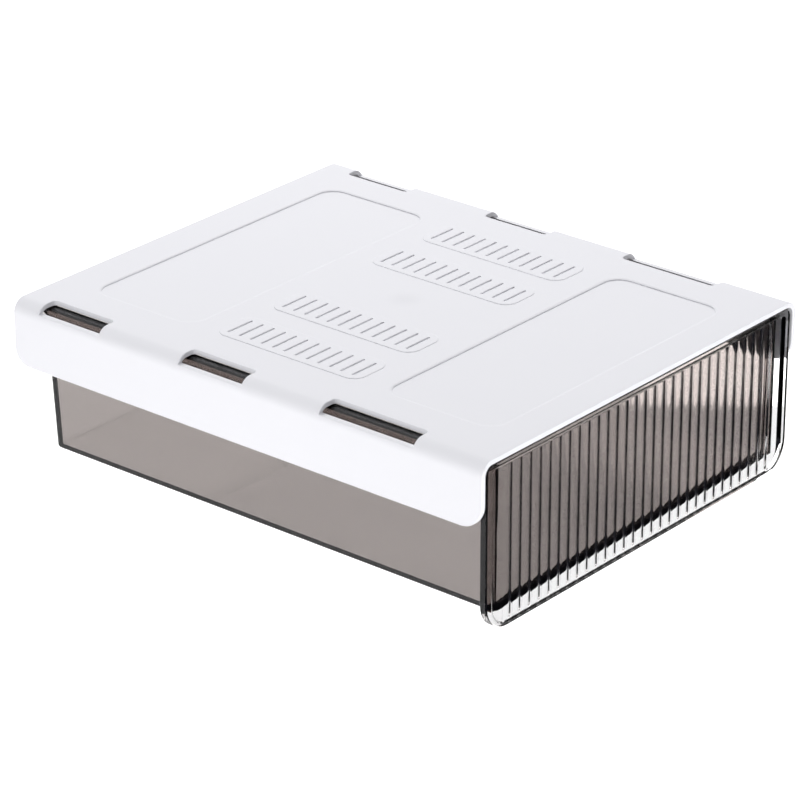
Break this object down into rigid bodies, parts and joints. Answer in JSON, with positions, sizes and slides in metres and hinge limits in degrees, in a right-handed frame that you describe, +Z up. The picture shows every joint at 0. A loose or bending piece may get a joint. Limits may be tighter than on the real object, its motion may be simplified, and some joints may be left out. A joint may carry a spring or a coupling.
{
  "type": "under desk drawer",
  "caption": "Under-desk drawer: a white cover fastened under a desk top, and a smoky tray with a fluted clear front panel that slides out on ledges inside it.",
  "frame": {"origin": "centre of the cover's flat top face, the face that meets the underside of the desk", "axes": "+Z up into the desk, -Y out of the front panel and the way the drawer opens, X across the width"},
  "size_m": [0.27, 0.323, 0.0975],
  "materials": {
    "cover_plastic": "satin white moulded plastic",
    "tray_plastic": "glossy smoky grey-brown see-through plastic",
    "panel_plastic": "glossy nearly clear fluted plastic with a slight smoke tint"
  },
  "bodies": {
    "cover": {"cover": "cover_plastic"},
    "drawer": {"tray": "tray_plastic", "front_panel": "panel_plastic"}
  },
  "joints": [
    {"name": "drawer_slide", "type": "slide", "parent": "cover", "child": "drawer", "axis": [0, -1, 0], "range_m": [0, 0.2]}
  ]
}
